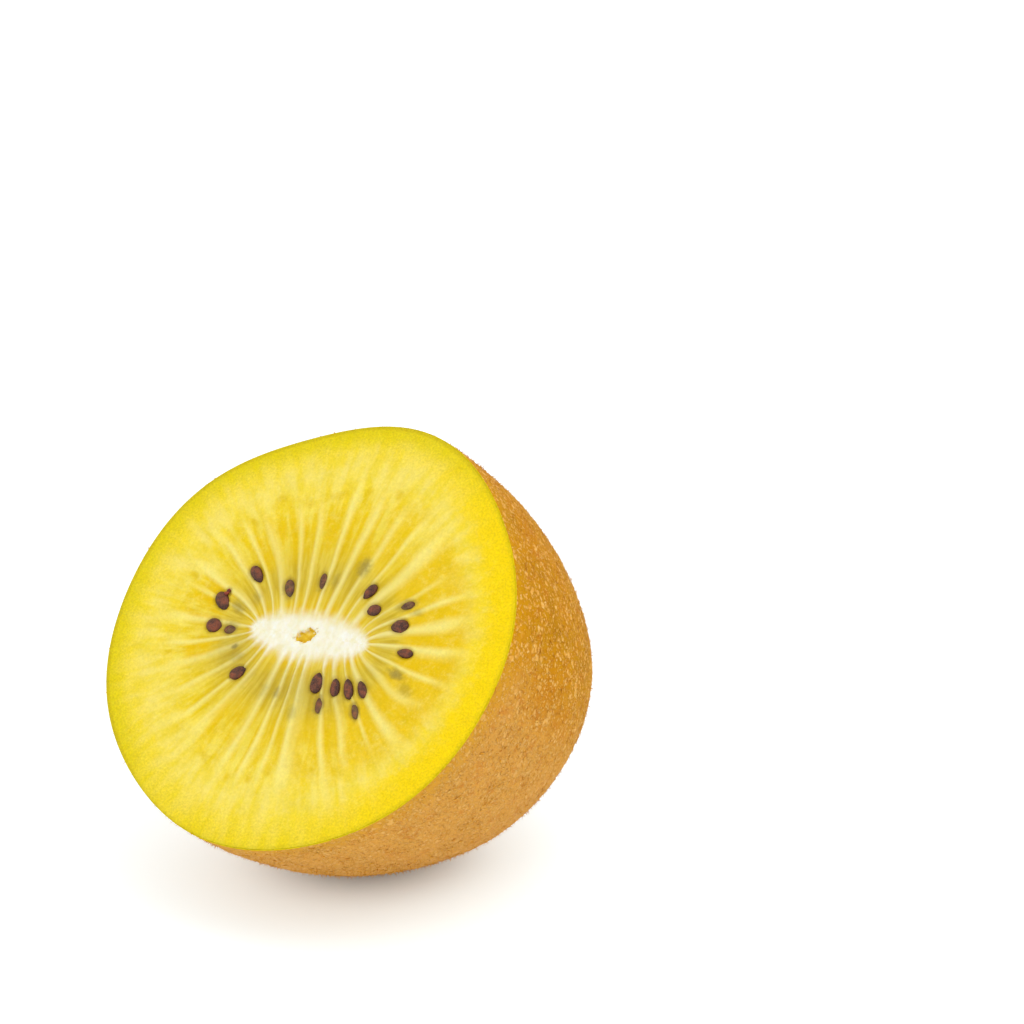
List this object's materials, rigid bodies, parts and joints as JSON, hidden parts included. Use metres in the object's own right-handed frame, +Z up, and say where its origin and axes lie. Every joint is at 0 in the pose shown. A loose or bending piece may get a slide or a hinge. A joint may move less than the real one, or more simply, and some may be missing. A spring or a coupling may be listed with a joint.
{
  "type": "golden kiwi fruit half",
  "caption": "Half of a golden kiwi fruit, cut across its middle: yellow flesh, white core and dark seeds on the cut face, thin golden-brown skin outside, resting on a small flat spot.",
  "frame": {"origin": "under the middle of the half's bounding box, on the surface it rests on", "axes": "+Z up, -Y towards the side that the cut face looks to, +X to the right of someone who looks at the cut face"},
  "size_m": [0.0522, 0.0542, 0.0503],
  "materials": {
    "skin": "thin golden-brown skin with short pale-orange hairs, matt",
    "flesh": "moist translucent yellow flesh with pale rays and a white core",
    "seed": "dark brown, moist and finely pitted"
  },
  "bodies": {
    "root": {"kiwi_half": "skin", "seed_01": "seed", "seed_02": "seed", "seed_03": "seed", "seed_04": "seed", "seed_05": "seed", "seed_06": "seed", "seed_07": "seed", "seed_08": "seed", "seed_09": "seed", "seed_10": "seed", "seed_11": "seed", "seed_12": "seed", "seed_13": "seed", "seed_14": "seed", "seed_15": "seed", "seed_16": "seed", "seed_17": "seed", "seed_18": "seed"}
  },
  "joints": []
}
